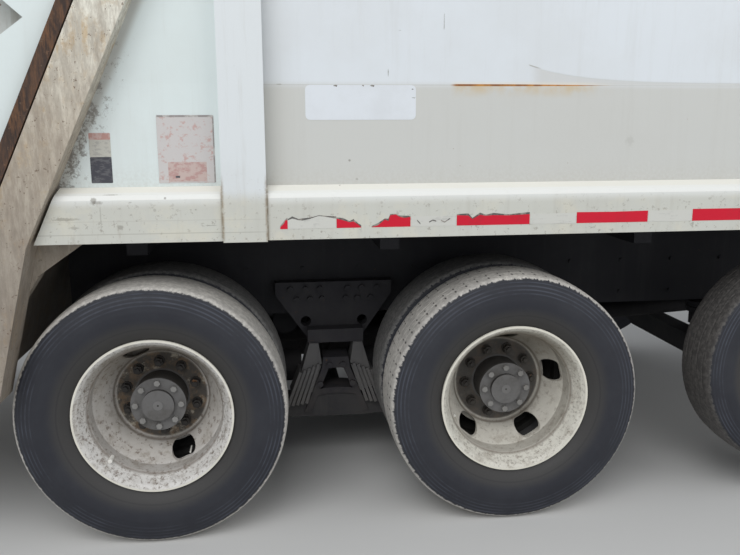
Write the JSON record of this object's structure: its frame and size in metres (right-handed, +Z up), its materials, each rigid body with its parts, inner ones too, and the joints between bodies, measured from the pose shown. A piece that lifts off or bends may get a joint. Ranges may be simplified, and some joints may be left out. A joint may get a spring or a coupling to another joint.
{
  "type": "rear-loading refuse truck",
  "caption": "Heavy refuse truck with a tilting cab, a closed body, a lifting rear hopper with a sliding and sweeping packer, and an ejector panel inside.",
  "frame": {"origin": "on the ground below the middle of the truck's length and width", "axes": "+X forward, +Y to the truck's left, +Z up"},
  "size_m": [9.55, 2.84, 3.5603],
  "materials": {
    "body_paint": "chalked white with dirt streaks",
    "bumper_steel": "matt black paint",
    "cab_paint": "worn gloss",
    "cab_vinyl": "matt vinyl",
    "chassis_paint": "dusty black paint",
    "cylinder_paint": "black paint",
    "engine_iron": "oily",
    "exhaust_steel": "heat-stained",
    "grille_plastic": "matt black",
    "lamp_clear": "clear lens",
    "lamp_red": "moulded lens",
    "mirror_trim": "matt black",
    "rod_chrome": "polished",
    "spring_rubber": "aged rubber and steel plates",
    "tank_aluminium": "dull",
    "tyre_rubber": "dusty matt rubber",
    "wheel_steel": "chalky off-white, rusted",
    "window_glass": "tinted",
    "worn_paint": "white paint worn to rust and grime"
  },
  "bodies": {
    "chassis": {"body_floor": "worn_paint", "body_roof": "body_paint", "body_sides": "body_paint", "bolster_springs": "spring_rubber", "drive_axles": "chassis_paint", "engine_block": "engine_iron", "equalizer_beams": "chassis_paint", "exhaust_stack": "exhaust_steel", "front_axle": "chassis_paint", "front_bumper": "bumper_steel", "fuel_tank": "tank_aluminium", "headlamps": "lamp_clear", "ladder_frame": "chassis_paint", "pusher_suspension": "chassis_paint", "rear_frame": "worn_paint", "sills_and_posts": "body_paint", "suspension_brackets": "chassis_paint"},
    "cab": {"cab_glass": "window_glass", "cab_interior": "cab_vinyl", "cab_shell": "cab_paint", "grille": "grille_plastic", "mirrors": "mirror_trim"},
    "left_door": {"door_glass_left": "window_glass", "door_left": "cab_paint"},
    "right_door": {"door_glass_right": "window_glass", "door_right": "cab_paint"},
    "ejector": {"ejector_panel": "worn_paint"},
    "tailgate": {"hopper_floor": "worn_paint", "hopper_side_plates": "worn_paint", "packer_slide_barrels": "cylinder_paint", "rear_steps": "worn_paint", "tail_lamps": "lamp_red", "tailgate_canopy": "body_paint", "tailgate_frame": "worn_paint", "tailgate_sides": "body_paint"},
    "knuckle_left": {"knuckle_left": "chassis_paint"},
    "knuckle_right": {"knuckle_right": "chassis_paint"},
    "lift_cylinders": {"lift_barrels": "cylinder_paint"},
    "lift_pistons": {"lift_rods": "rod_chrome"},
    "carriage": {"packer_carriage": "worn_paint"},
    "sweep_cylinders": {"sweep_barrels": "cylinder_paint"},
    "blade": {"sweep_blade": "worn_paint"},
    "sweep_pistons": {"sweep_rods": "rod_chrome"},
    "tie_rod_body": {"tie_rod": "chassis_paint"},
    "wheel_front_left": {"tyres_front_left": "tyre_rubber", "wheels_front_left": "wheel_steel"},
    "wheel_front_right": {"tyres_front_right": "tyre_rubber", "wheels_front_right": "wheel_steel"},
    "wheel_pusher_left": {"tyres_pusher_left": "tyre_rubber", "wheels_pusher_left": "wheel_steel"},
    "wheel_pusher_right": {"tyres_pusher_right": "tyre_rubber", "wheels_pusher_right": "wheel_steel"},
    "wheel_rear_a_left": {"tyres_rear_a_left": "tyre_rubber", "wheels_rear_a_left": "wheel_steel"},
    "wheel_rear_a_right": {"tyres_rear_a_right": "tyre_rubber", "wheels_rear_a_right": "wheel_steel"},
    "wheel_rear_b_left": {"tyres_rear_b_left": "tyre_rubber", "wheels_rear_b_left": "wheel_steel"},
    "wheel_rear_b_right": {"tyres_rear_b_right": "tyre_rubber", "wheels_rear_b_right": "wheel_steel"}
  },
  "joints": [
    {"name": "wheel_rear_a_right", "type": "hinge", "parent": "chassis", "child": "wheel_rear_a_right", "pos_m": [-2.375, -0.921, 0.506], "axis": [0, 1, 0], "continuous": true},
    {"name": "wheel_rear_b_right", "type": "hinge", "parent": "chassis", "child": "wheel_rear_b_right", "pos_m": [-0.975, -0.921, 0.506], "axis": [0, 1, 0], "continuous": true},
    {"name": "wheel_pusher_right", "type": "hinge", "parent": "chassis", "child": "wheel_pusher_right", "pos_m": [0.305, -0.94, 0.585], "axis": [0, 1, 0], "continuous": true},
    {"name": "wheel_front_right", "type": "hinge", "parent": "knuckle_right", "child": "wheel_front_right", "pos_m": [3.475, -1.17, 0.506], "axis": [0, 1, 0], "continuous": true},
    {"name": "wheel_rear_a_left", "type": "hinge", "parent": "chassis", "child": "wheel_rear_a_left", "pos_m": [-2.375, 0.921, 0.506], "axis": [0, 1, 0], "continuous": true},
    {"name": "wheel_rear_b_left", "type": "hinge", "parent": "chassis", "child": "wheel_rear_b_left", "pos_m": [-0.975, 0.921, 0.506], "axis": [0, 1, 0], "continuous": true},
    {"name": "wheel_pusher_left", "type": "hinge", "parent": "chassis", "child": "wheel_pusher_left", "pos_m": [0.305, 0.94, 0.585], "axis": [0, 1, 0], "continuous": true},
    {"name": "wheel_front_left", "type": "hinge", "parent": "knuckle_left", "child": "wheel_front_left", "pos_m": [3.475, 1.17, 0.506], "axis": [0, 1, 0], "continuous": true},
    {"name": "steer_left", "type": "hinge", "parent": "chassis", "child": "knuckle_left", "pos_m": [3.475, 0.86, 0.506], "axis": [0, 0, 1], "range_deg": [-35, 35]},
    {"name": "steer_right", "type": "hinge", "parent": "chassis", "child": "knuckle_right", "pos_m": [3.475, -0.86, 0.506], "axis": [0, 0, 1], "range_deg": [-36, 36]},
    {"name": "tie_rod_slide", "type": "slide", "parent": "chassis", "child": "tie_rod_body", "axis": [0, 1, 0], "range_m": [-0.13, 0.13]},
    {"name": "cab_tilt", "type": "hinge", "parent": "chassis", "child": "cab", "pos_m": [4.565, 0, 0.83], "axis": [0, 1, 0], "range_deg": [0, 45]},
    {"name": "door_left_hinge", "type": "hinge", "parent": "cab", "child": "left_door", "pos_m": [4.485, 1.15, 1.5], "axis": [0, 0, -1], "range_deg": [0, 70]},
    {"name": "door_right_hinge", "type": "hinge", "parent": "cab", "child": "right_door", "pos_m": [4.485, -1.15, 1.5], "axis": [0, 0, 1], "range_deg": [0, 70]},
    {"name": "ejector_slide", "type": "slide", "parent": "chassis", "child": "ejector", "axis": [-1, 0, 0], "range_m": [0, 4.1]},
    {"name": "tailgate_lift", "type": "hinge", "parent": "chassis", "child": "tailgate", "pos_m": [-1.87877, 0, 3.37], "axis": [0, 1, 0], "range_deg": [0, 85]},
    {"name": "lift_cylinder_swing", "type": "hinge", "parent": "chassis", "child": "lift_cylinders", "pos_m": [-0.27876, 0, 3.43], "axis": [0, 1, 0], "range_deg": [-2, 12]},
    {"name": "lift_piston_slide", "type": "slide", "parent": "lift_cylinders", "child": "lift_pistons", "axis": [0.9987, 0, -0.0505], "range_m": [-0.005, 0.4]},
    {"name": "packer_slide", "type": "slide", "parent": "tailgate", "child": "carriage", "axis": [-0.6428, 0, -0.766], "range_m": [0, 0.8]},
    {"name": "blade_sweep", "type": "hinge", "parent": "carriage", "child": "blade", "pos_m": [-3.24477, 0, 2.09284], "axis": [0, 1, 0], "range_deg": [0, 105]},
    {"name": "sweep_cylinder_swing", "type": "hinge", "parent": "carriage", "child": "sweep_cylinders", "pos_m": [-2.81947, 0, 2.91083], "axis": [0, 1, 0], "range_deg": [-6, 6]},
    {"name": "sweep_piston_slide", "type": "slide", "parent": "sweep_cylinders", "child": "sweep_pistons", "axis": [0.5859, 0, 0.8104], "range_m": [-0.005, 0.4]}
  ],
  "couplings": [
    {"joint": "steer_right", "follows": "steer_left", "ratio": 1},
    {"joint": "tie_rod_slide", "follows": "steer_left", "m_per_rad": -0.19718},
    {"joint": "lift_cylinder_swing", "follows": "tailgate_lift", "ratio": 0.06612},
    {"joint": "lift_piston_slide", "follows": "tailgate_lift", "m_per_rad": 0.25897},
    {"joint": "sweep_cylinder_swing", "follows": "blade_sweep", "ratio": 0.01671},
    {"joint": "sweep_piston_slide", "follows": "blade_sweep", "m_per_rad": 0.20725}
  ]
}
